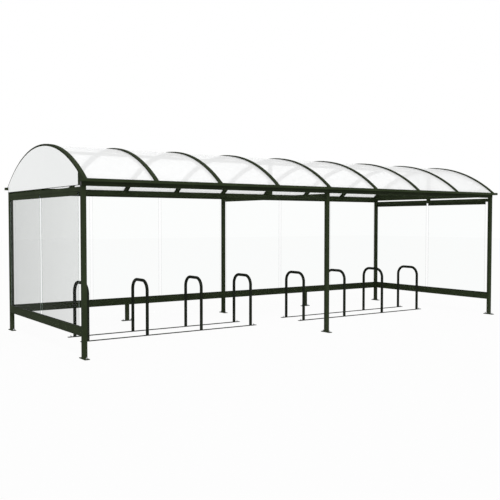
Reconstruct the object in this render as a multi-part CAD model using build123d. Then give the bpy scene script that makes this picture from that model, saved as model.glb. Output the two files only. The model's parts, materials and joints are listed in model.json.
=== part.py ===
from build123d import *

import os
from math import sqrt

# Open-fronted bike shelter with a barrel roof, in millimetres.
# X runs along the shelter, Y from the open front to the glazed back, Z up.
# The origin is on the ground, at the middle of the footprint.

# Layout
bay_length = 4000.0
bay_count = 2
frame_depth = 3000.0

# Posts and their base plates
post_size = 60.0
plate_length = 200.0
plate_width = 70.0
plate_thickness = 10.0
plate_hole = 14.0
plate_hole_pitch = 150.0

# Eaves: a beam on the posts, and a folded rail along its outer face
eave_beam_bottom = 2180.0
eave_beam_depth = 90.0
eave_rail_width = 90.0
eave_rail_depth = 40.0
eave_rail_thickness = 3.0
eave_end_cap = 3.0
eave_overrun = 30.0

# End frames and the middle frame
tie_drop = 10.0
tie_depth = 60.0
sill_drop = 75.0
sill_rise = 60.0

# Roof
roof_rise = 550.0
roof_foot_margin = 45.0
roof_bays_per_bay = 4
cap_width = 56.0
cap_thickness = 5.0
sheet_thickness = 6.0
sheet_joint = 12.0
rib_width = 50.0
rib_depth = 60.0
purlin_size = 40.0

# Gable sheets
gable_thickness = 5.0
gable_edge_margin = 19.0
gable_front_margin = 95.0

# Bottom rails and the short legs under the back ones
rail_bottom = 285.0
rail_depth = 100.0
rail_width = 60.0

# Glazing
panel_thickness = 5.0
back_panels_per_bay = 3
back_panel_joint = 50.0
back_panel_side_gap = 40.0
end_panels = 2
end_panel_joint = 60.0
end_panel_front_gap = 90.0
end_panel_back_gap = 10.0
channel_width = 25.0
channel_thickness = 2.0
low_channel_depth = 20.0
high_channel_depth = 45.0
panel_edge_gap = 1.0

# Bike stands: hoops of round tube on two flat ground rails
hoop_count = 4
hoop_pitch = 955.0
hoop_height = 858.0
hoop_span = 500.0
hoop_tube = 48.3
hoop_tube_sides = 12
hoop_bend_radius = 155.0
stand_setback = 25.0
ground_rail_width = 50.0
ground_rail_thickness = 8.0
ground_rail_overrun = 108.0
ground_rail_hole = 14.0
ground_rail_end_margin = 45.0

# Values worked out from the driving dimensions
length = bay_length * bay_count
half_length = length / 2
half_depth = frame_depth / 2
half_post = post_size / 2
frame_xs = [bay_length * i - half_length for i in range(bay_count + 1)]
bay_middles = [(frame_xs[i] + frame_xs[i + 1]) / 2 for i in range(bay_count)]
bay_names = ["left", "right"]
frame_names = ["left", "middle", "right"]
end_sides = {"left": -1, "right": 1}
eave_top = eave_beam_bottom + eave_beam_depth
tie_top = eave_beam_bottom - tie_drop
tie_bottom = tie_top - tie_depth
sill_bottom = eave_top - sill_drop
sill_top = eave_top + sill_rise
roof_foot = half_depth + half_post + eave_rail_width - roof_foot_margin
arch_radius = (roof_foot * roof_foot + roof_rise * roof_rise) / (2 * roof_rise)
arch_centre = eave_top + roof_rise - arch_radius
sheet_top_radius = arch_radius - cap_thickness
sheet_radius = sheet_top_radius - sheet_thickness
rib_radius = sheet_radius - rib_depth
purlin_top = arch_centre + sqrt(rib_radius * rib_radius - purlin_size * purlin_size / 4)
purlin_bottom = purlin_top - purlin_size
roof_bays = bay_count * roof_bays_per_bay
roof_pitch = length / roof_bays
rib_xs = [roof_pitch * i - half_length for i in range(roof_bays + 1)]
rail_top = rail_bottom + rail_depth
low_channel_top = rail_top + low_channel_depth
eave_half_length = half_length + half_post + eave_overrun
post_inner = half_depth - half_post
post_outer = half_depth + half_post

os.makedirs("parts", exist_ok=True)


def block(x_range, y_range, z_range):
    """A box between its two limits along each axis."""
    size = [high - low for low, high in (x_range, y_range, z_range)]
    middle = [(high + low) / 2 for low, high in (x_range, y_range, z_range)]
    return Pos(*middle) * Box(*size)


def around(middle, width):
    """The two limits of a width about its middle."""
    return middle - width / 2, middle + width / 2


def save(name, *solids):
    """Write one node from a solid, or from several that don't touch."""
    shape = solids[0] if len(solids) == 1 else Compound(list(solids))
    export_step(shape, f"parts/{name}.step")


def hole(x, y, diameter, depth):
    """The cutter of a vertical hole that starts at the ground."""
    return Pos(x, y, depth / 2) * Cylinder(diameter / 2, depth)


# Posts

def base_plate(x, y, along_x):
    """A plate with two anchor holes, long towards X or towards Y."""
    long_x, long_y = (1, 0) if along_x else (0, 1)
    plate = block(
        around(x, plate_length if along_x else plate_width),
        around(y, plate_width if along_x else plate_length),
        (0, plate_thickness),
    )
    for side in (-1, 1):
        reach = side * plate_hole_pitch / 2
        plate -= hole(x + long_x * reach, y + long_y * reach, plate_hole, plate_thickness)
    return plate


def post(x, y, top, along_x=False):
    """A square post welded to its base plate."""
    shaft = block(around(x, post_size), around(y, post_size), (plate_thickness, top))
    return base_plate(x, y, along_x) + shaft


for row, y in (("front", -half_depth), ("back", half_depth)):
    for name, x in zip(frame_names, frame_xs):
        save(f"post_{row}_{name}", post(x, y, eave_beam_bottom))


# Bottom rails, on the posts of the back and of both ends

bay_limits = {
    name: (frame_xs[i] + half_post, frame_xs[i + 1] - half_post)
    for i, name in enumerate(bay_names)
}
end_limits = (-post_inner, post_inner)

for name in bay_names:
    rail = block(bay_limits[name], around(half_depth, rail_width), (rail_bottom, rail_top))
    save(f"bottom_rail_back_{name}", rail)

short_legs = [post(x, half_depth, rail_bottom, along_x=True) for x in bay_middles]
save("short_legs_back", *short_legs)

for name, side in end_sides.items():
    rail = block(around(side * half_length, rail_width), end_limits, (rail_bottom, rail_top))
    save(f"bottom_rail_end_{name}", rail)


# Eaves

def eave_rail(side):
    """A folded channel, open below, with a flat cap at each end."""
    inner = side * post_outer
    outer = side * (post_outer + eave_rail_width)
    body = block(
        (-eave_half_length, eave_half_length),
        sorted((inner, outer)),
        (eave_top - eave_rail_depth, eave_top),
    )
    inside_y = sorted((inner + side * eave_rail_thickness, outer - side * eave_rail_thickness))
    inside = block(
        (-eave_half_length + eave_end_cap, eave_half_length - eave_end_cap),
        inside_y,
        (eave_top - eave_rail_depth, eave_top - eave_rail_thickness),
    )
    return body - inside


for row, side in (("front", -1), ("back", 1)):
    beam = block(
        (-half_length - half_post, half_length + half_post),
        around(side * half_depth, post_size),
        (eave_beam_bottom, eave_top),
    )
    save(f"eave_beam_{row}", beam)
    save(f"eave_rail_{row}", eave_rail(side))


# Cross frames: a tie between the posts and a king post on it

def tie(x):
    """The tie beam of one cross frame."""
    return block(around(x, post_size), end_limits, (tie_bottom, tie_top))


for name, x in zip(frame_names, frame_xs):
    save(f"tie_{name}", tie(x))

middle_king = block(around(0, post_size), around(0, post_size), (tie_top, purlin_bottom))
save("king_post_middle", middle_king)

for name, side in end_sides.items():
    x = side * half_length
    lower = block(around(x, post_size), around(0, post_size), (tie_top, sill_bottom))
    upper = block(around(x, post_size), around(0, post_size), (sill_top, purlin_bottom))
    save(f"king_post_{name}", lower, upper)


# Roof

def arch_point(radius, y_side):
    """Where a circle of the arch meets the top of the eaves."""
    rise = eave_top - arch_centre
    return y_side * sqrt(radius * radius - rise * rise), eave_top


def arch_face(inner_radius, outer_radius):
    """The arch's section, level at its feet, between two radii about one centre."""
    crown_in = (0, arch_centre + inner_radius)
    crown_out = (0, arch_centre + outer_radius)
    inner_left, inner_right = arch_point(inner_radius, -1), arch_point(inner_radius, 1)
    outer_left, outer_right = arch_point(outer_radius, -1), arch_point(outer_radius, 1)
    edge = [
        ThreePointArc(inner_left, crown_in, inner_right),
        Line(inner_right, outer_right),
        ThreePointArc(outer_right, crown_out, outer_left),
        Line(outer_left, inner_left),
    ]
    return make_face(Curve() + edge)


def arch_bar(x_range, inner_radius, outer_radius):
    """The arch's section carried along X."""
    low, high = x_range
    section = Plane(origin=(low, 0, 0), x_dir=(0, 1, 0), z_dir=(1, 0, 0))
    return extrude(section * arch_face(inner_radius, outer_radius), high - low)


for i, x in enumerate(rib_xs):
    save(f"roof_rib_{i + 1}", arch_bar(around(x, rib_width), rib_radius, sheet_radius))

for name, side in end_sides.items():
    limits = around(side * half_length, post_size)
    sill = block(limits, end_limits, (sill_bottom, sill_top))
    save(f"gable_sill_{name}", sill - arch_bar(limits, rib_radius, arch_radius))

caps = [arch_bar(around(x, cap_width), sheet_top_radius, arch_radius) for x in rib_xs]
save("rib_caps", *caps)

for i in range(roof_bays):
    low = rib_xs[i] + sheet_joint / 2
    high = rib_xs[i + 1] - sheet_joint / 2
    save(f"roof_sheet_{i + 1}", arch_bar((low, high), sheet_radius, sheet_top_radius))

purlin = block(
    (-half_length - half_post, half_length + half_post),
    around(0, purlin_size),
    (purlin_bottom, purlin_top),
)
save("ridge_purlin", purlin)


# Gable sheets, on the outside of the end rib and its sill

def gable_sheet(side):
    """A sheet with a straight foot, straight sides and the arch as its top."""
    radius = sheet_radius - gable_edge_margin
    front = gable_front_margin - half_depth
    front_top = arch_centre + sqrt(radius * radius - front * front)
    back_top = arch_centre + sqrt(radius * radius - half_depth * half_depth)
    edge = [
        Polyline(
            (front, front_top),
            (front, sill_bottom),
            (half_depth, sill_bottom),
            (half_depth, back_top),
        ),
        ThreePointArc((half_depth, back_top), (0, arch_centre + radius), (front, front_top)),
    ]
    inner = side * (half_length + half_post)
    start = inner if side > 0 else inner - gable_thickness
    section = Plane(origin=(start, 0, 0), x_dir=(0, 1, 0), z_dir=(1, 0, 0))
    return extrude(section * make_face(Curve() + edge), gable_thickness)


for name, side in end_sides.items():
    save(f"gable_sheet_{name}", gable_sheet(side))


# Glazing: U channels above and below, with the panels standing in them

def split(low, high, count, joint):
    """Equal lengths between two limits, with joints between them."""
    width = (high - low - (count - 1) * joint) / count
    starts = [low + i * (width + joint) for i in range(count)]
    return [(start, start + width) for start in starts]


def channel(run, across, z_low, z_high, opens_up, along_x):
    """A U channel: its web on the seat, its mouth towards the panel."""
    if opens_up:
        mouth = (z_low + channel_thickness, z_high)
    else:
        mouth = (z_low, z_high - channel_thickness)
    inner_width = channel_width - 2 * channel_thickness
    outer_box = (around(across, channel_width), (z_low, z_high))
    inner_box = (around(across, inner_width), mouth)
    if along_x:
        return block(run, *outer_box) - block(run, *inner_box)
    return block(outer_box[0], run, outer_box[1]) - block(inner_box[0], run, inner_box[1])


def panel(run, across, z_low, z_high, along_x):
    """One flat clear panel."""
    thickness = around(across, panel_thickness)
    if along_x:
        return block(run, thickness, (z_low, z_high))
    return block(thickness, run, (z_low, z_high))


panel_foot = rail_top + channel_thickness

for name in bay_names:
    low, high = bay_limits[name]
    gap = back_panel_side_gap
    runs = split(low + gap, high - gap, back_panels_per_bay, back_panel_joint)
    top_channel = eave_beam_bottom - low_channel_depth
    head = eave_beam_bottom - channel_thickness - panel_edge_gap
    save(
        f"glazing_channels_back_{name}",
        channel((low, high), half_depth, rail_top, low_channel_top, True, True),
        channel((low, high), half_depth, top_channel, eave_beam_bottom, False, True),
    )
    save(f"clear_panels_back_{name}", *[panel(run, half_depth, panel_foot, head, True) for run in runs])

for name, side in end_sides.items():
    x = side * (half_length + half_post - channel_width / 2)
    low, high = end_limits
    runs = split(low + end_panel_front_gap, high - end_panel_back_gap, end_panels, end_panel_joint)
    top_channel = tie_bottom - high_channel_depth
    head = tie_bottom - channel_thickness - panel_edge_gap
    heads = [channel(run, x, top_channel, tie_bottom, False, False) for run in runs]
    foot = channel((low, high), x, rail_top, low_channel_top, True, False)
    save(f"glazing_channels_end_{name}", foot, *heads)
    save(f"clear_panels_end_{name}", *[panel(run, x, panel_foot, head, False) for run in runs])


# Bike stands

def hoop(x):
    """An upside-down U of tube on the ground rails; its section is a polygon round the tube."""
    foot = ground_rail_thickness
    top = hoop_height - hoop_tube / 2
    front = stand_setback - hoop_span / 2
    back = stand_setback + hoop_span / 2
    path = FilletPolyline(
        (x, front, foot), (x, front, top), (x, back, top), (x, back, foot), radius=hoop_bend_radius
    )
    half_side = 180 / hoop_tube_sides
    outline = RegularPolygon(hoop_tube / 2, hoop_tube_sides, major_radius=False, rotation=half_side)
    return sweep(Plane(origin=path @ 0, z_dir=path % 0) * outline, path=path)


def ground_rail(middle, y):
    """A flat bar under one row of hoop legs, with an anchor hole near each end."""
    half_run = (hoop_count - 1) * hoop_pitch / 2 + ground_rail_overrun
    rail = block(around(middle, 2 * half_run), around(y, ground_rail_width), (0, ground_rail_thickness))
    end_hole = half_run - ground_rail_end_margin
    for x in (-end_hole, end_hole):
        rail -= hole(middle + x, y, ground_rail_hole, ground_rail_thickness)
    return rail


for name, middle in zip(bay_names, bay_middles):
    first = middle - (hoop_count - 1) * hoop_pitch / 2
    hoops = [hoop(first + i * hoop_pitch) for i in range(hoop_count)]
    save(f"stand_hoops_{name}", *hoops)
    leg_rows = (stand_setback - hoop_span / 2, stand_setback + hoop_span / 2)
    save(f"stand_rails_{name}", *[ground_rail(middle, y) for y in leg_rows])
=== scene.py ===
import json
from math import acos, cos, pi, radians, sin

import bmesh
import bpy
import numpy as np
from mathutils import Matrix, Vector


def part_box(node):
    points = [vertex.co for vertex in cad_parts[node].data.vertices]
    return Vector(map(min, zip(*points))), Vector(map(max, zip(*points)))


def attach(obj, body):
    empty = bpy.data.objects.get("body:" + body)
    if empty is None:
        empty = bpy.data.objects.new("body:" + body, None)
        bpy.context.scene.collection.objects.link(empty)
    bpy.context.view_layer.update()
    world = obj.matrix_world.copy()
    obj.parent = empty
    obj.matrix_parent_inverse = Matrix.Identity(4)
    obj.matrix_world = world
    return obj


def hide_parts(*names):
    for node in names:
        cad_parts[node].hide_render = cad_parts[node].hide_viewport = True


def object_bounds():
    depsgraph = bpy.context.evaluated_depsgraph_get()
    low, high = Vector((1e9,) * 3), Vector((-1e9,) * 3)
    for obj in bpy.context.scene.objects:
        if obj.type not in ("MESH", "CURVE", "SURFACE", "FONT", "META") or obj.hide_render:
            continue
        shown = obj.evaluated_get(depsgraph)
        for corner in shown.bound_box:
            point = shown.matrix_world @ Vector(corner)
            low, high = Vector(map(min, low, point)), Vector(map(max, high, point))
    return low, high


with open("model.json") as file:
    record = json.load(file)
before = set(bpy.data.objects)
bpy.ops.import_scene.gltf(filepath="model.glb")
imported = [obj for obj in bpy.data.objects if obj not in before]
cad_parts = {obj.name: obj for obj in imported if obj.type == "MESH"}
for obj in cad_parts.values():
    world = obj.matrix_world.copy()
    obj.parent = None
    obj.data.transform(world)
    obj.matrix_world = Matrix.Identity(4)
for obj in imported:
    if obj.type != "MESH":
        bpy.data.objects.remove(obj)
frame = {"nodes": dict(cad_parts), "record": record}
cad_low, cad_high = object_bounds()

# A bike shelter with a barrel roof, in metres.
# X runs along it, Y from the open front to the glazed back, Z up from the ground.

# Steelwork
tube_width = 0.060
tube_corner = 0.005
tube_end_round = 0.0006
plate_length = 0.200
plate_width = 0.070
plate_thickness = 0.010
plate_corner = 0.008
plate_edge = 0.0012
bolt_pitch = 0.150
rib_depth = 0.060

# Welds: sizes in metres, shares of a weld's own size or of the tube's width, and steps
weld_size = 0.0042
weld_ripple = 0.0005
weld_ripple_pitch = 0.0045
weld_hollow = 0.8
weld_sunk = -0.25
weld_span = 0.9
weld_end_size = 0.35
weld_end_growth = 8
weld_steps_round = 160
weld_steps_across = 41
weld_steps_at_hoop = 33

# Anchor bolts
washer_radius = 0.012
washer_hole = 0.0065
washer_thickness = 0.0025
washer_ease = 0.15
washer_sides = 32
nut_width = 0.019
nut_height = 0.010
nut_sides = 48
nut_face_share = 0.97
nut_corner_share = 1.16
nut_chamfer = 0.14
stud_radius = 0.006
stud_reach = 0.011
stud_pitch = 0.00175
stud_sides = 20
thread_depth = 0.0005

# Bike stands
hoop_radius = 0.02415
hoop_bend = 0.155
hoop_sides = 32
hoop_bend_steps = 17
hoops_per_stand = 4
rail_width = 0.050
rail_bolt_margin = 0.045
hoop_weld_half_angle = radians(55)

# Roof: caps on the ribs, and sheets held between the ribs below the caps' tops
cap_width = 0.056
cap_depth = 0.011
cap_corner = 0.0025
sheet_drop = 0.017
sheet_thickness = 0.006
sheet_side_gap = 0.0004
bead_width = 0.007
bead_height = 0.0035
seat_width = 0.012
seat_height = 0.003
sheet_corner = 0.0008
bead_corner = 0.0012
arch_rows = 97
strip_rows = 65

# Fixings of the roof and the gables
cap_screw_radius = 0.006
cap_screw_height = 0.003
cap_screw_pitch = 0.36
cap_screw_crown_gap = 0.25
cap_screw_foot_gap = 0.07
rivet_radius = 0.0065
rivet_height = 0.0025
rivet_margin = 0.022
rivets_in_a_row = 11
dome_angle = radians(80)
dome_power = 0.6
dome_steps = 5

# Glazing
gasket_width = 0.0078
gasket_depth = 0.006
gasket_rise = 0.003
gasket_corner = 0.0014
gasket_end_round = 0.0004
foot_channel_depth = 0.020
head_channel_depth = {"back": 0.020, "end": 0.045}
end_panel_joint = 0.060

# Plastic caps in the ends of the front beam
beam_cap_thickness = 0.003
beam_cap_inset = 0.001
beam_cap_edge = 0.0012

# Edges that turn by more than this stay crisp
sharp_edge = radians(35)

# Powder coat: bump and dust heights in metres, noise in waves to the metre
coat_cloud_waves = 3.0
coat_dark = 0.86
coat_light = 1.18
gloss_waves = 30.0
gloss_spread = 0.10
peel_waves = 420.0
fine_peel_waves = 1300.0
peel_depth = 0.00005
skin_weight = 0.06
skin_roughness = 0.25
dust_colour = (0.16, 0.155, 0.13, 1)
dust_height = 0.30
dust_patch_waves = 14.0
low_dust = 0.08
top_dust = 0.03
dust_dulling = 0.9

# Zinc plate, black rubber and black plastic
zinc_blotch_waves = 260.0
dull_zinc = (0.36, 0.37, 0.38, 1)
bright_zinc = (0.58, 0.59, 0.60, 1)
zinc_depth = 0.00005
grain_waves = 900.0
grain_depth = 0.00004

# Clear sheet: the share of it that shows a painted dark reflection, straight on and growing at a slant,
# and the share of sheet at cut edges
dark_reflection_straight_on = 0.008
clear_slant_power = 4.65
clear_edge_share = 0.75
clear_waves = 2.2
clear_wave_depth = 0.004
# Near-black colour of the painted dark reflection, then the greener cut edge and the tint of what passes
# through
clear_dark_reflection_colour = (0.014, 0.016, 0.016, 1)
clear_cut_edge = (0.30, 0.36, 0.34, 1)
clear_tint = (0.995, 1.0, 0.997, 1)

# Milky sheet: the veil of each face, and the share of it that is lit from the other side
veil_of_lower_face = 0.12
veil_added_on_top = 0.71
lit_from_behind = 0.15
lit_from_behind_added = 0.6
milky_dark = (0.89, 0.895, 0.895, 1)
milky_light = (0.925, 0.93, 0.93, 1)
milky_glow = (0.97, 0.975, 0.975, 1)
milky_waves = 3.0
milky_wave_depth = 0.001

# White gable sheet
gable_dark = (0.935, 0.95, 0.945, 1)
gable_light = (0.965, 0.98, 0.975, 1)
gable_waves = 8.0
gable_wave_depth = 0.0006

# Camera
camera_place = (-7.5214, -10.2415, 1.7281)
camera_turn = 0.6061
camera_pitch = -0.0382
camera_roll = 0.0006
camera_lens = 52.83
sensor_width = 36.0

# Light: the sky and the sun together light a white surface to about its own colour
sky_strength = 0.83
sun_strength = 1.55
sun_angle = radians(25)
sun_from = (-0.22, -0.69, 0.69)
floor_reach = 60.0
floor_tone = 0.58
floor_glow = 0.95


# Surfaces

def circle(radius, count):
    """Closed outline of a circle: radius times cosine and sine of equal angles."""
    angle = np.arange(count) * 2 * pi / count
    return radius * np.stack([np.cos(angle), np.sin(angle)], axis=-1)


def rounded_rectangle(width, depth, corner, steps=5):
    """Closed outline of a rectangle: four quarter circles about the centres of its corners."""
    quarter = np.linspace(0, pi / 2, steps)
    angle = (np.arange(4)[:, None] * pi / 2 + quarter).ravel()
    sides = np.array([(1, 1), (-1, 1), (-1, -1), (1, -1)], float)
    middle = sides * (width / 2 - corner, depth / 2 - corner)
    round_part = corner * np.stack([np.cos(angle), np.sin(angle)], axis=-1)
    return np.repeat(middle, steps, axis=0) + round_part


def sweep(outline, stations, across, upward):
    """Grid of points: each row is the outline at one station, station + across * x + upward * y."""
    stations = np.asarray(stations, float)
    outline = np.broadcast_to(outline, (len(stations),) + np.shape(outline)[-2:])
    across = np.broadcast_to(np.asarray(across, float), stations.shape)[:, None, :]
    upward = np.broadcast_to(np.asarray(upward, float), stations.shape)[:, None, :]
    return stations[:, None, :] + across * outline[..., :1] + upward * outline[..., 1:]


def capped(points):
    """The grid with its first and last rows drawn together to their middles, which closes its ends."""
    first = np.broadcast_to(points[:1].mean(axis=1, keepdims=True), points[:1].shape)
    last = np.broadcast_to(points[-1:].mean(axis=1, keepdims=True), points[-1:].shape)
    return np.concatenate([first, points, last])


def joined(points):
    """The grid with its first row again at its end, which makes it a ring."""
    return np.concatenate([points, points[:1]])


def quads(rows, columns):
    """Corner numbers of a grid's faces: its columns close on themselves, its rows don't."""
    row = np.arange(rows - 1)[:, None]
    column = np.arange(columns)[None, :]
    next_column = (column + 1) % columns
    corner_numbers = (
        row * columns + column,
        row * columns + next_column,
        (row + 1) * columns + next_column,
        (row + 1) * columns + column,
    )
    return np.stack(np.broadcast_arrays(*corner_numbers), axis=-1).reshape(-1, 4)


def make_piece(name, grids, material, replaces=()):
    """A mesh piece from closed grids of points, with its doubles merged and its faces outwards."""
    points = np.concatenate([grid.reshape(-1, 3) for grid in grids])
    starts = np.cumsum([0] + [grid.shape[0] * grid.shape[1] for grid in grids[:-1]])
    faces = [quads(*grid.shape[:2]) + start for grid, start in zip(grids, starts)]
    mesh = bpy.data.meshes.new(name)
    mesh.from_pydata(points, [], np.concatenate(faces))
    shape = bmesh.new()
    shape.from_mesh(mesh)
    bmesh.ops.remove_doubles(shape, verts=shape.verts, dist=1e-6)
    bmesh.ops.recalc_face_normals(shape, faces=shape.faces)
    shape.to_mesh(mesh)
    shape.free()
    mesh.shade_smooth()
    mesh.set_sharp_from_angle(angle=sharp_edge)
    mesh.materials.append(material)
    piece = bpy.data.objects.new(name, mesh)
    bpy.context.scene.collection.objects.link(piece)
    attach(piece, "root")
    if replaces:
        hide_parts(*replaces)


# Turned solids and bars

def turned(heights, radii, axis=(0, 0, 1), sides=16):
    """A closed turned solid: circles of the given radii at the given heights along the axis."""
    axis = np.asarray(axis, float)
    side = np.cross(axis, (1, 0, 0) if abs(axis[0]) < 0.9 else (0, 1, 0))
    side = side / np.linalg.norm(side)
    outline = circle(1, sides) * np.asarray(radii, float)[:, None, None]
    return capped(sweep(outline, np.outer(heights, axis), side, np.cross(axis, side)))


def domed_head(radius, height, axis):
    """A button head: the radius falls as the cosine while the height rises as the sine."""
    angle = np.linspace(0, dome_angle, dome_steps)
    return turned(height * np.sin(angle), radius * np.cos(angle) ** dome_power, axis)


def bar(low, high, axis, corner=tube_corner, end_round=tube_end_round):
    """A bar between two opposite corners, along one axis, with rounded long edges and eased ends."""
    low, high = np.asarray(low, float), np.asarray(high, float)
    side, other = [i for i in range(3) if i != axis]
    width, depth = (high - low)[[side, other]]
    full = rounded_rectangle(width, depth, corner)
    eased = rounded_rectangle(width - 2 * end_round, depth - 2 * end_round, corner - end_round)
    stations = np.tile((low + high) / 2, (4, 1))
    stations[:, axis] = (low[axis], low[axis] + end_round, high[axis] - end_round, high[axis])
    unit = np.eye(3)
    return capped(sweep(np.stack([eased, full, full, eased]), stations, unit[side], unit[other]))


# Welds

def weld_outline(sizes):
    """A fillet weld's section: a hollow triangle between the plate and the wall, sunk into both."""
    arc = np.linspace(0, pi / 2, 5)
    curve = np.stack([1 - weld_hollow * np.sin(arc), 1 - weld_hollow * np.cos(arc)], axis=-1)
    points = np.concatenate([[(weld_sunk, weld_sunk), (1, weld_sunk)], curve, [(weld_sunk, 1)]])
    return points * sizes[:, None, None]


def weld_bead(path, outward, upward=(0, 0, 1), ring=False):
    """A weld along a path: its size is its own, plus a sine for each drop of metal."""
    run = np.append(0, np.cumsum(np.linalg.norm(np.diff(path, axis=0), axis=1)))
    sizes = weld_size + weld_ripple * np.sin(run * 2 * pi / weld_ripple_pitch)
    if ring:
        return joined(sweep(weld_outline(sizes), path, outward, upward))
    from_end = np.minimum(run, run[-1] - run) / run[-1]
    taper = np.clip(weld_end_growth * from_end + weld_end_size, 0, 1)
    return capped(sweep(weld_outline(sizes * taper), path, outward, upward))


def weld_round_post(x, y, z):
    """A weld round a post's foot: equal steps along the rounded outline of its tube."""
    steps = weld_steps_round
    outline = rounded_rectangle(tube_width, tube_width, tube_corner, steps=9)
    outline = np.concatenate([outline, outline[:1]])
    lengths = np.append(0, np.cumsum(np.linalg.norm(np.diff(outline, axis=0), axis=1)))
    sample = np.arange(steps) * lengths[-1] / steps
    path = np.stack([np.interp(sample, lengths, outline[:, i]) for i in range(2)], axis=-1)
    ahead = np.roll(path, -1, axis=0) - np.roll(path, 1, axis=0)
    ahead = ahead / np.linalg.norm(ahead, axis=1, keepdims=True)
    level = np.zeros(steps)
    outward = np.stack([ahead[:, 1], -ahead[:, 0], level], axis=-1)
    return weld_bead(np.column_stack([path, level]) + (x, y, z), outward, ring=True)


def weld_across(place, along, outward, upward):
    """A straight weld across a tube's face, nearly as long as the tube is wide."""
    half_run = weld_span * tube_width / 2 * np.asarray(along, float)
    path = np.linspace(place - half_run, place + half_run, weld_steps_across)
    return weld_bead(path, outward, upward)


def welds_at_hoop_foot(x, y, z):
    """Two welds on the sides of a hoop's leg that look along the rail: arcs of its circle."""
    angle = np.linspace(-hoop_weld_half_angle, hoop_weld_half_angle, weld_steps_at_hoop)
    beads = []
    for side in (-1, 1):
        outward = np.column_stack([side * np.cos(angle), np.sin(angle), np.zeros(len(angle))])
        beads.append(weld_bead(hoop_radius * outward + (x, y, z), outward))
    return beads


# Shader maths

class Signal:
    """One value in a material. Arithmetic on it adds Math nodes."""

    def __init__(self, recipe, socket):
        self.recipe = recipe
        self.socket = socket

    def maths(self, operation, *values):
        return self.recipe.node("ShaderNodeMath", {"operation": operation}, *values)

    def __add__(self, other):
        return self.maths("ADD", self, other)

    def __radd__(self, other):
        return self.maths("ADD", other, self)

    def __sub__(self, other):
        return self.maths("SUBTRACT", self, other)

    def __rsub__(self, other):
        return self.maths("SUBTRACT", other, self)

    def __mul__(self, other):
        return self.maths("MULTIPLY", self, other)

    def __rmul__(self, other):
        return self.maths("MULTIPLY", other, self)

    def __pow__(self, other):
        return self.maths("POWER", self, other)

    def __abs__(self):
        return self.maths("ABSOLUTE", self)

    def larger(self, other):
        return self.maths("MAXIMUM", self, other)

    def output(self, name):
        """Another output of the same node."""
        return Signal(self.recipe, self.socket.node.outputs[name])


class Recipe:
    """The nodes of a material or of the world."""

    def __init__(self, made):
        self.made = made
        self.made.use_nodes = True
        self.made.node_tree.nodes.clear()

    def node(self, kind, settings, *values, output=0, **named):
        """Adds a node: its settings first, then its sockets by place or by name. None skips one."""
        node = self.made.node_tree.nodes.new(kind)
        for key, value in settings.items():
            setattr(node, key, value)
        for key, value in [*enumerate(values), *named.items()]:
            socket = node.inputs[key if isinstance(key, int) else key.replace("_", " ")]
            if isinstance(value, Signal):
                self.made.node_tree.links.new(value.socket, socket)
            elif value is not None:
                socket.default_value = value
        return Signal(self, node.outputs[output]) if node.outputs else None

    def place(self):
        """Object coordinates, in metres."""
        return self.node("ShaderNodeTexCoord", {}, output="Object")

    def parts(self, vector):
        """The three numbers of a vector."""
        split = self.node("ShaderNodeSeparateXYZ", {}, vector)
        return [split.output(axis) for axis in "XYZ"]

    def facing(self):
        """The three numbers of the surface's own normal, turned to the side that is looked at."""
        return self.parts(self.node("ShaderNodeNewGeometry", {}, output="Normal"))

    def noise(self, scale, detail=2.0, roughness=0.5):
        """Soft noise about 0.5, with so many waves to the metre."""
        return self.node(
            "ShaderNodeTexNoise", {},
            Vector=self.place(), Scale=scale, Detail=detail, Roughness=roughness,
        )

    def ramp(self, value, low, high, start=0.0, end=1.0):
        """The value carried from one range to another, held at both ends."""
        return self.node("ShaderNodeMapRange", {}, value, low, high, start, end)

    def mix(self, share, first, second):
        """A colour between two."""
        unused = (None,) * 5
        return self.node("ShaderNodeMix", {"data_type": "RGBA"}, share, *unused, first, second, output=2)

    def bump(self, height, distance):
        """A normal for the surface raised by the height, a share of the distance in metres."""
        return self.node("ShaderNodeBump", {}, Distance=distance, Height=height)

    def blend(self, share, first, second):
        """A shader between two."""
        return self.node("ShaderNodeMixShader", {}, share, first, second)

    def finished(self, shader):
        """Ends the recipe with a shader and gives the material or the world."""
        kind = "World" if isinstance(self.made, bpy.types.World) else "Material"
        self.node(f"ShaderNodeOutput{kind}", {}, shader)
        return self.made


def shade(colour, factor):
    """The colour made lighter or darker, with its alpha."""
    return tuple(factor * part for part in colour) + (1,)


# Materials

def powder_coat(name, colour, gloss):
    """Powder coat on steel: orange peel, a thin satin skin, a little dust low down and on top faces."""
    r = Recipe(bpy.data.materials.new(name))
    height = r.parts(r.place())[2]
    clouds = r.noise(coat_cloud_waves, detail=4.0)
    peel = r.noise(peel_waves, detail=1.0) + 0.5 * r.noise(fine_peel_waves, detail=0.0)
    low_down = r.ramp(height, dust_height, 0.0) * r.ramp(clouds, 0.35, 0.70)
    patches = r.ramp(r.noise(dust_patch_waves, detail=5.0), 0.35, 0.80)
    on_top = r.ramp(r.facing()[2], 0.50, 0.95) * patches
    dust = low_dust * low_down + top_dust * on_top
    coat = r.mix(r.ramp(clouds, 0.3, 0.7), shade(colour, coat_dark), shade(colour, coat_light))
    shader = r.node(
        "ShaderNodeBsdfPrincipled", {},
        Base_Color=r.mix(dust, coat, dust_colour),
        Roughness=gloss + gloss_spread * r.noise(gloss_waves, detail=3.0) + dust_dulling * dust,
        Specular_IOR_Level=0.0,
        Coat_Weight=skin_weight,
        Coat_Roughness=skin_roughness,
        Normal=r.bump(peel, peel_depth),
    )
    return r.finished(shader)


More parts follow.
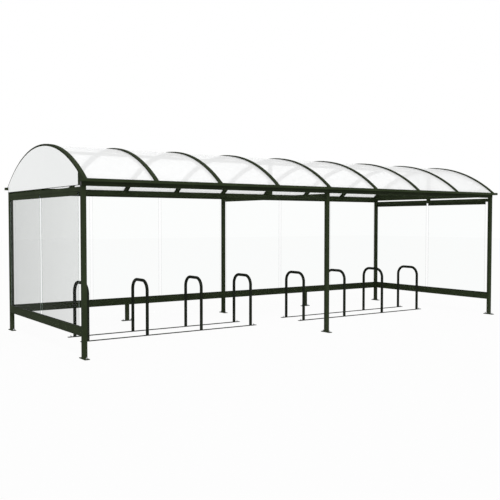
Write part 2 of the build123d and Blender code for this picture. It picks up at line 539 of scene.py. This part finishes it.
def zinc(name):
    """Bright zinc plate: a cool grey metal, blotched and a little dull."""
    r = Recipe(bpy.data.materials.new(name))
    blotch = r.noise(zinc_blotch_waves, detail=4.0, roughness=0.65)
    shader = r.node(
        "ShaderNodeBsdfPrincipled", {},
        Base_Color=r.mix(r.ramp(blotch, 0.35, 0.65), dull_zinc, bright_zinc),
        Metallic=1.0,
        Roughness=0.30 + 0.25 * blotch,
        Normal=r.bump(blotch, zinc_depth),
    )
    return r.finished(shader)


def black_plastic(name, colour, roughness):
    """Black rubber or moulded plastic with a fine grain."""
    r = Recipe(bpy.data.materials.new(name))
    grain = r.noise(grain_waves, detail=2.0)
    shader = r.node(
        "ShaderNodeBsdfPrincipled", {},
        Base_Color=r.mix(grain, shade(colour, 0.7), shade(colour, 1.3)),
        Roughness=roughness + 0.15 * grain,
        Specular_IOR_Level=0.2,
        Normal=r.bump(grain, grain_depth),
    )
    return r.finished(shader)


def clear_sheet(name, thin_axis):
    """Clear plastic sheet: it lets less through at a slant, where a near-black sheet shows as a painted
    dark reflection, and its cut edges are greener and denser.
    """
    r = Recipe(bpy.data.materials.new(name))
    slant = r.node("ShaderNodeLayerWeight", {}, Blend=0.5, output="Facing")
    # Painted dark reflection: the near-black sheet's share, small straight on and large at a slant
    dark_reflection_share = dark_reflection_straight_on + (1 - dark_reflection_straight_on) * slant ** clear_slant_power
    edge = r.ramp(abs(r.facing()[thin_axis]), 0.9, 0.5)
    sheet = r.node(
        "ShaderNodeBsdfPrincipled", {},
        Base_Color=r.mix(edge, clear_dark_reflection_colour, clear_cut_edge),
        Roughness=0.03 + 0.03 * r.noise(60.0, detail=3.0),
        Specular_IOR_Level=0.03,
        Normal=r.bump(r.noise(clear_waves, detail=1.0), clear_wave_depth),
    )
    clear = r.node("ShaderNodeBsdfTransparent", {}, Color=clear_tint)
    return r.finished(r.blend(dark_reflection_share * (1 - edge) + clear_edge_share * edge, clear, sheet))


def milky_sheet(name):
    """Opal roof sheet: a veil in its upper face, pale from above and lit through from below."""
    r = Recipe(bpy.data.materials.new(name))
    behind = r.node("ShaderNodeNewGeometry", {}, output="Backfacing")
    upper = r.ramp(r.facing()[2] * (1 - 2 * behind), -0.1, 0.1)
    cloud = r.noise(2.0, detail=4.0)
    sheet = r.node(
        "ShaderNodeBsdfPrincipled", {},
        Base_Color=r.mix(cloud, milky_dark, milky_light),
        Roughness=0.14 + 0.12 * r.noise(40.0, detail=3.0),
        Specular_IOR_Level=0.9,
        Normal=r.bump(r.noise(milky_waves), milky_wave_depth),
    )
    lit_through = r.node("ShaderNodeBsdfTranslucent", {}, Color=milky_glow)
    clear = r.node("ShaderNodeBsdfTransparent", {}, Color=(1, 1, 1, 1))
    veil = r.blend(lit_from_behind + lit_from_behind_added * behind, sheet, lit_through)
    return r.finished(r.blend(veil_of_lower_face + veil_added_on_top * upper, clear, veil))


def white_gable(name):
    """Plain white sheet with a soft sheen and the faintest unevenness."""
    r = Recipe(bpy.data.materials.new(name))
    cloud = r.noise(1.6, detail=3.0)
    sheet = r.node(
        "ShaderNodeBsdfPrincipled", {},
        Base_Color=r.mix(cloud, gable_dark, gable_light),
        Roughness=0.32 + 0.12 * r.noise(50.0, detail=3.0),
        Specular_IOR_Level=0.3,
        Normal=r.bump(r.noise(gable_waves, detail=1.0), gable_wave_depth),
    )
    return r.finished(sheet)


frame_green = (0.024, 0.033, 0.0155)
frame_paint = powder_coat("frame_powder_coat", frame_green, 0.48)
trim_paint = powder_coat("trim_powder_coat", frame_green, 0.44)
stand_paint = powder_coat("stand_powder_coat", (0.011, 0.014, 0.009), 0.40)
zinc_plate = zinc("zinc_plated_steel")
rubber = black_plastic("glazing_rubber", (0.020, 0.020, 0.019), 0.60)
cap_plastic = black_plastic("end_cap_plastic", (0.016, 0.017, 0.015), 0.42)
clear_back = clear_sheet("clear_back_panel", 1)
clear_end = clear_sheet("clear_end_panel", 0)
opal = milky_sheet("milky_roof_sheet")
gable_white = white_gable("white_gable_sheet")

slot_materials = {
    "frame_paint": frame_paint,
    "trim_paint": trim_paint,
    "stand_paint": stand_paint,
    "opal_sheet": opal,
    "white_sheet": gable_white,
}


def finish_frame_nodes():
    """Gives each node that came from the frame its finish."""
    for part in frame["record"]["subparts"]:
        name = part["node"]
        if name.startswith("clear_panels"):
            material = clear_back if "back" in name else clear_end
        else:
            material = slot_materials[part["material_slot"]]
        for place in frame["nodes"][name].material_slots:
            place.material = material


# Steelwork

def corners(node):
    """A node's lowest and highest corners as arrays."""
    low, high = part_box(node)
    return np.array(low), np.array(high)


def nodes_named(start):
    """The frame's nodes whose names begin so."""
    return [node for node in frame["nodes"] if node.startswith(start)]


def straight_tubes():
    """Beams, ties, bottom rails and the purlin: square tube with rounded corners."""
    runs = {"eave_beam": 0, "ridge_purlin": 0, "bottom_rail_back": 0, "bottom_rail_end": 1, "tie": 1}
    for start, axis in runs.items():
        for node in nodes_named(start):
            make_piece(f"tube_{node}", [bar(*corners(node), axis)], frame_paint, [node])


def post_shape(x, y, top, along_x=False):
    """A post's tube, its base plate and the weld between them."""
    half = tube_width / 2
    plate_x, plate_y = (plate_length, plate_width) if along_x else (plate_width, plate_length)
    plate_low = (x - plate_x / 2, y - plate_y / 2, 0)
    plate_high = (x + plate_x / 2, y + plate_y / 2, plate_thickness)
    return [
        bar((x - half, y - half, plate_thickness), (x + half, y + half, top), 2),
        bar(plate_low, plate_high, 2, plate_corner, plate_edge),
        weld_round_post(x, y, plate_thickness),
    ]


def posts():
    """Six posts, each a piece, and the two short legs as one more."""
    for node in nodes_named("post_"):
        low, high = corners(node)
        x, y, _ = (low + high) / 2
        make_piece(f"welded_{node}", post_shape(x, y, high[2]), frame_paint, [node])
    legs = []
    for x in short_leg_xs:
        legs += post_shape(x, back_y, short_leg_top, along_x=True)
    make_piece("welded_short_legs", legs, frame_paint, ["short_legs_back"])


def king_posts():
    """The middle one is one length; the end ones are cut where the sill passes."""
    for side in ("left", "middle", "right"):
        low, high = corners(f"king_post_{side}")
        lengths = [(low, high)]
        if side != "middle":
            sill_low, sill_high = corners(f"gable_sill_{side}")
            lengths = [
                (low, (high[0], high[1], sill_low[2])),
                ((low[0], low[1], sill_high[2]), high),
            ]
        grids = [bar(start, end, 2) for start, end in lengths]
        make_piece(f"tube_king_post_{side}", grids, frame_paint, [f"king_post_{side}"])


def sill_shape(node):
    """A lower tube between the beams, and an upper one that reaches the rib's inner circle.

    Its reach is the root of the circle's radius squared less the height over its centre squared.
    """
    low, high = corners(node)
    middle = (low + high) / 2
    lower = bar(low, (high[0], high[1], eave_top), 1)
    section = rounded_rectangle(high[0] - low[0], high[2] - eave_top, tube_corner)
    x = middle[0] + section[:, 0]
    z = (eave_top + high[2]) / 2 + section[:, 1]
    reach = np.sqrt((rib_radius - rib_depth) ** 2 - (z - arch_centre) ** 2)
    rows = [np.column_stack([x, side * reach, z]) for side in (-1, 1)]
    return [lower, capped(np.stack(rows))]


def arch_shape(x_low, x_high, inner, outer, corner, rows=arch_rows, steps=5):
    """A bar along the arch: each point of its section goes through share * acos(rise / radius)."""
    section = rounded_rectangle(x_high - x_low, outer - inner, corner, steps)
    radius = (inner + outer) / 2 + section[:, 1]
    share = np.linspace(-1, 1, rows)[:, None]
    angle = share * np.arccos((eave_top - arch_centre) / radius)
    x = np.broadcast_to((x_low + x_high) / 2 + section[:, 0], angle.shape)
    return capped(np.stack([x, radius * np.sin(angle), arch_centre + radius * np.cos(angle)], axis=-1))


def roof_steel():
    """Ribs and sills of tube, and the caps that clamp the roof sheets down along the ribs."""
    caps = []
    for node in nodes_named("roof_rib_"):
        low, high = corners(node)
        rib = arch_shape(low[0], high[0], rib_radius - rib_depth, rib_radius, tube_corner)
        make_piece(f"tube_{node}", [rib], frame_paint, [node])
        middle = (low[0] + high[0]) / 2
        cap_sides = middle - cap_width / 2, middle + cap_width / 2
        caps.append(arch_shape(*cap_sides, roof_radius - cap_depth, roof_radius, cap_corner))
    make_piece("rounded_rib_caps", caps, trim_paint, ["rib_caps"])
    for node in nodes_named("gable_sill_"):
        make_piece(f"tube_{node}", sill_shape(node), frame_paint, [node])


def roof_sheets():
    """Each sheet lies between two ribs, on a seat strip and under a rubber bead at each side."""
    outer = roof_radius - sheet_drop
    inner = outer - sheet_thickness
    seats, beads = [], []
    ribs = nodes_named("roof_rib_")
    for number, (before, after) in enumerate(zip(ribs, ribs[1:]), start=1):
        left, right = corners(before)[1][0], corners(after)[0][0]
        sides = left + sheet_side_gap, right - sheet_side_gap
        sheet = arch_shape(*sides, inner, outer, sheet_corner, steps=2)
        make_piece(f"seated_sheet_{number}", [sheet], opal, [f"roof_sheet_{number}"])
        for edge in ((left, left + seat_width), (right - seat_width, right)):
            seats.append(arch_shape(*edge, inner - seat_height, inner, sheet_corner, strip_rows, 2))
        for edge in ((left, left + bead_width), (right - bead_width, right)):
            beads.append(arch_shape(*edge, outer, outer + bead_height, bead_corner, strip_rows, 2))
    make_piece("sheet_seats", seats, frame_paint)
    make_piece("sheet_beads", beads, rubber)


def frame_welds():
    """Small welds where the tubes meet, on the faces that aren't flush."""
    x_way, y_way, up, down = np.array([(1, 0, 0), (0, 1, 0), (0, 0, 1), (0, 0, -1)], float)
    half = tube_width / 2
    beads = []
    for node in nodes_named("tie") + nodes_named("bottom_rail_end") + nodes_named("gable_sill"):
        low, high = corners(node)
        x = (low[0] + high[0]) / 2
        for side in (-1, 1):
            beads.append(weld_across((x, side * high[1], low[2]), x_way, -side * y_way, down))
            if node.startswith("tie"):
                beads.append(weld_across((x, side * high[1], high[2]), x_way, -side * y_way, up))
    for node in nodes_named("bottom_rail_back"):
        low, high = corners(node)
        beads.append(weld_across((low[0], back_y, low[2]), y_way, x_way, down))
        beads.append(weld_across((high[0], back_y, low[2]), y_way, -x_way, down))
    for x in short_leg_xs:
        for side in (-1, 1):
            beads.append(weld_across((x + side * half, back_y, short_leg_top), y_way, side * x_way, down))
    for node in nodes_named("post_front"):
        low, high = corners(node)
        x, y, _ = (low + high) / 2
        for side in (-1, 1):
            if abs(x + side * half) < beam_end:
                beads.append(weld_across((x + side * half, y, high[2]), y_way, side * x_way, down))
    purlin_half = (corners("ridge_purlin")[1] - corners("ridge_purlin")[0])[1] / 2
    for side in ("left", "middle", "right"):
        low, high = corners(f"king_post_{side}")
        x = (low[0] + high[0]) / 2
        seats = [(half, low[2]), (purlin_half, high[2])]
        if side != "middle":
            seats.append((half, corners(f"gable_sill_{side}")[1][2]))
        for reach, z in seats:
            for way in (-1, 1):
                beads.append(weld_across((x, way * reach, z), x_way, way * y_way, up))
    make_piece("frame_welds", beads, frame_paint)


def beam_end_caps():
    """Plastic caps that close the two ends of the front beam."""
    low, high = corners("eave_beam_front")
    grids = []
    for side in (-1, 1):
        face = side * high[0]
        outer = face + side * beam_cap_thickness
        cap_low = (min(face, outer), low[1] + beam_cap_inset, low[2] + beam_cap_inset)
        cap_high = (max(face, outer), high[1] - beam_cap_inset, high[2] - beam_cap_inset)
        grids.append(bar(cap_low, cap_high, 0, tube_corner, beam_cap_edge))
    make_piece("beam_end_caps", grids, cap_plastic)


# Anchor bolts

def washer():
    """A flat ring: a rectangle with eased outer edges, carried round a circle."""
    outward = np.column_stack([circle(1, washer_sides), np.zeros(washer_sides)])
    ease = washer_ease * washer_thickness
    outline = np.array([
        (washer_hole, 0), (washer_radius - ease, 0), (washer_radius, ease),
        (washer_radius, washer_thickness - ease), (washer_radius - ease, washer_thickness),
        (washer_hole, washer_thickness),
    ])
    return joined(sweep(outline, np.zeros((washer_sides, 3)), outward, (0, 0, 1)))


def hexagon_nut():
    """A nut: a hexagon cut down by cones at both faces, each radius the smaller of the two."""
    angle = np.arange(nut_sides) * 2 * pi / nut_sides
    flats = nut_width / 2 / np.cos((angle + pi / 6) % (pi / 3) - pi / 6)
    cone = nut_width / 2 * np.array([nut_face_share, nut_corner_share, nut_corner_share, nut_face_share])
    radius = np.minimum(flats[None, :], cone[:, None])
    heights = washer_thickness + nut_height * np.array([0, nut_chamfer, 1 - nut_chamfer, 1])
    stations = np.outer(heights, (0, 0, 1))
    return capped(sweep(radius[..., None] * circle(1, nut_sides), stations, (1, 0, 0), (0, 1, 0)))


def threaded_stud():
    """A stud: circles whose radius rises and falls once for each turn of its thread."""
    top = washer_thickness + nut_height + stud_reach
    heights = np.arange(washer_thickness, top, stud_pitch / 4)
    radii = stud_radius - thread_depth + thread_depth * np.cos(heights * 2 * pi / stud_pitch)
    heights = np.append(heights, heights[-1] + 2 * thread_depth)
    return turned(heights, np.append(radii, stud_radius - 3 * thread_depth), sides=stud_sides)


def anchor_bolts():
    """A washer, a nut and a stud at each hole of the base plates and of the stands' rails."""
    half_pitch = bolt_pitch / 2
    places = []
    for node in nodes_named("post_"):
        low, high = corners(node)
        x, y, _ = (low + high) / 2
        places += [(x, y + side * half_pitch, plate_thickness) for side in (-1, 1)]
    places += [(x + side * half_pitch, back_y, plate_thickness) for x in short_leg_xs for side in (-1, 1)]
    for node in nodes_named("stand_rails"):
        low, high = corners(node)
        xs = (low[0] + rail_bolt_margin, high[0] - rail_bolt_margin)
        ys = (low[1] + rail_width / 2, high[1] - rail_width / 2)
        places += [(x, y, high[2]) for x in xs for y in ys]
    fixing = [washer(), hexagon_nut(), threaded_stud()]
    grids = [part + place for place in places for part in fixing]
    make_piece("anchor_bolts", grids, zinc_plate)


# Bike stands

def hoop_shape(x, front, back, foot, top):
    """Tube along two legs, two quarter circles and a straight top; heading turns from up to down."""
    turn = np.linspace(0, pi / 2, hoop_bend_steps)
    bend_start = top - hoop_radius - hoop_bend
    rising = np.column_stack([
        front + hoop_bend * (1 - np.cos(turn)), bend_start + hoop_bend * np.sin(turn)
    ])
    falling = np.column_stack([
        back - hoop_bend * (1 - np.sin(turn)), bend_start + hoop_bend * np.cos(turn)
    ])
    path = np.concatenate([[(front, foot)], rising, falling, [(back, foot)]])
    heading = np.concatenate([[pi / 2], pi / 2 - turn, -turn, [-pi / 2]])
    stations = np.column_stack([np.full(len(path), x), path])
    inward = np.column_stack([np.zeros(len(path)), np.sin(heading), -np.cos(heading)])
    return capped(sweep(circle(hoop_radius, hoop_sides), stations, (1, 0, 0), inward))


def stands():
    """The hoops of each stand, and the welds at their feet."""
    beads = []
    for side in ("left", "right"):
        low, high = corners(f"stand_hoops_{side}")
        front, back = low[1] + hoop_radius, high[1] - hoop_radius
        xs = np.linspace(low[0] + hoop_radius, high[0] - hoop_radius, hoops_per_stand)
        hoops = [hoop_shape(x, front, back, low[2], high[2]) for x in xs]
        make_piece(f"round_hoops_{side}", hoops, stand_paint, [f"stand_hoops_{side}"])
        for x in xs:
            beads += welds_at_hoop_foot(x, front, low[2]) + welds_at_hoop_foot(x, back, low[2])
    make_piece("hoop_welds", beads, stand_paint)


# Fixings of the roof and the gables

def on_arch(x, radius, angle):
    """A point of the arch and the direction that points out of it there."""
    outward = np.array([0, sin(angle), cos(angle)])
    return np.array([x, 0, arch_centre]) + radius * outward, outward


def cap_screws():
    """Screws along both slopes of each rib cap, clear of the crown and the feet."""
    first = cap_screw_crown_gap / roof_radius
    last = acos((eave_top - arch_centre) / roof_radius) - cap_screw_foot_gap / roof_radius
    count = round((last - first) * roof_radius / cap_screw_pitch) + 1
    grids = []
    for node in nodes_named("roof_rib_"):
        low, high = corners(node)
        for angle in np.linspace(first, last, count):
            for side in (-1, 1):
                place, outward = on_arch((low[0] + high[0]) / 2, roof_radius, side * angle)
                grids.append(domed_head(cap_screw_radius, cap_screw_height, outward) + place)
    make_piece("cap_screws", grids, trim_paint)


def gable_rivets():
    """White rivets along the foot and the curved edge of each gable sheet."""
    grids = []
    for side, name in ((-1, "left"), (1, "right")):
        low, high = corners(f"gable_sheet_{name}")
        face = max(abs(low[0]), abs(high[0]))
        head = domed_head(rivet_radius, rivet_height, (side, 0, 0))
        ends = low[1] + rivet_margin, high[1] - rivet_margin
        row_radius = high[2] - arch_centre - rivet_margin
        for y in np.linspace(*ends, rivets_in_a_row):
            grids.append(head + (side * face, y, low[2] + rivet_margin))
        for angle in np.linspace(*np.arcsin(np.array(ends) / row_radius), rivets_in_a_row):
            place, _ = on_arch(side * face, row_radius, angle)
            grids.append(head + place)
    make_piece("gable_rivets", grids, gable_white)


# Glazing

def gasket_pair(axis, run, faces, z_low, z_high):
    """Two rubber strips along a panel's edge, one on each of its faces."""
    across = 1 - axis
    sides = ((faces[0] - gasket_width, faces[0]), (faces[1], faces[1] + gasket_width))
    strips = []
    for low_face, high_face in sides:
        low, high = np.zeros(3), np.zeros(3)
        low[axis], high[axis] = run
        low[across], high[across] = low_face, high_face
        low[2], high[2] = z_low, z_high
        strips.append(bar(low, high, axis, gasket_corner, gasket_end_round))
    return strips


def gaskets():
    """Strips in the mouths of the channels: one run along each foot, one a panel at the end heads."""
    grids = []
    for row, axis in (("back", 0), ("end", 1)):
        for side in ("left", "right"):
            channel_low, channel_high = corners(f"glazing_channels_{row}_{side}")
            low, high = corners(f"clear_panels_{row}_{side}")
            faces = low[1 - axis], high[1 - axis]
            whole = channel_low[axis], channel_high[axis]
            mouth = channel_low[2] + foot_channel_depth
            grids += gasket_pair(axis, whole, faces, mouth - gasket_depth, mouth + gasket_rise)
            mouth = channel_high[2] - head_channel_depth[row]
            runs = [whole]
            if row == "end":
                width = (high[1] - low[1] - end_panel_joint) / 2
                runs = [(low[1], low[1] + width), (high[1] - width, high[1])]
            for run in runs:
                grids += gasket_pair(axis, run, faces, mouth - gasket_rise, mouth + gasket_depth)
    make_piece("glazing_gaskets", grids, rubber)


# Stage, light and camera

def background_rays(recipe):
    """1 for a ray that is to see the white background: straight on, mirrored or through clear sheet."""
    straight = recipe.node("ShaderNodeLightPath", {}, output="Is Camera Ray")
    mirrored = straight.output("Is Glossy Ray")
    through = straight.output("Is Transmission Ray")
    return straight.larger(mirrored).larger(through)


def pale_floor():
    """Matt and pale, with a glow that whitens it for the rays that see it and keeps a faint shadow."""
    r = Recipe(bpy.data.materials.new("pale_floor"))
    matt = r.node("ShaderNodeBsdfDiffuse", {}, Color=(floor_tone, floor_tone, floor_tone, 1))
    glow = r.node("ShaderNodeEmission", {}, Color=(1, 1, 1, 1), Strength=1.0)
    material = r.finished(r.blend(floor_glow * background_rays(r), matt, glow))
    mesh = bpy.data.meshes.new("floor")
    reach = floor_reach
    points = [(-reach, -reach, 0), (reach, -reach, 0), (reach, reach, 0), (-reach, reach, 0)]
    mesh.from_pydata(points, [], [(0, 1, 2, 3)])
    mesh.materials.append(material)
    floor = bpy.data.objects.new("floor", mesh)
    bpy.context.scene.collection.objects.link(floor)


def studio_light():
    """A plain white sky, white as a background, and one broad sun from the front left."""
    r = Recipe(bpy.data.worlds.new("studio"))
    sky = r.node("ShaderNodeBackground", {}, Color=(1, 1, 1, 1), Strength=sky_strength)
    white = r.node("ShaderNodeBackground", {}, Color=(1, 1, 1, 1), Strength=1.0)
    bpy.context.scene.world = r.finished(r.blend(background_rays(r), sky, white))
    sun = bpy.data.lights.new("sun", "SUN")
    sun.energy = sun_strength
    sun.angle = sun_angle
    lamp = bpy.data.objects.new("sun", sun)
    lamp.rotation_euler = Vector(sun_from).to_track_quat("Z", "Y").to_euler()
    bpy.context.scene.collection.objects.link(lamp)


def make_camera():
    """Turned from +Y towards +X, tipped down a little, and rolled by almost nothing."""
    data = bpy.data.cameras.new("camera")
    data.lens = camera_lens
    data.sensor_width = sensor_width
    level = cos(camera_pitch)
    ahead = Vector((sin(camera_turn) * level, cos(camera_turn) * level, sin(camera_pitch)))
    right = Vector((cos(camera_turn), -sin(camera_turn), 0))
    over = right.cross(ahead)
    rolled_right = cos(camera_roll) * right + sin(camera_roll) * over
    rolled_up = cos(camera_roll) * over - sin(camera_roll) * right
    camera = bpy.data.objects.new("camera", data)
    turn = Matrix((rolled_right, rolled_up, -ahead)).transposed().to_4x4()
    camera.matrix_world = Matrix.Translation(camera_place) @ turn
    bpy.context.scene.collection.objects.link(camera)
    bpy.context.scene.camera = camera


# Places read from the frame
beam_high = corners("eave_beam_front")[1]
eave_top = beam_high[2]
beam_end = beam_high[0]
rib_low, rib_high = corners("roof_rib_1")
rib_rise = rib_high[2] - rib_low[2]
rib_radius = (rib_high[1] ** 2 + rib_rise ** 2) / (2 * rib_rise)
arch_centre = rib_high[2] - rib_radius
roof_radius = cad_high[2] - arch_centre
legs_low, legs_high = corners("short_legs_back")
short_leg_top = legs_high[2]
back_y = (legs_low[1] + legs_high[1]) / 2
short_leg_xs = (legs_low[0] + plate_length / 2, legs_high[0] - plate_length / 2)

finish_frame_nodes()
straight_tubes()
posts()
king_posts()
roof_steel()
roof_sheets()
frame_welds()
beam_end_caps()
anchor_bolts()
stands()
cap_screws()
gable_rivets()
gaskets()

pale_floor()
studio_light()
make_camera()
bpy.context.scene.view_settings.view_transform = "Standard"
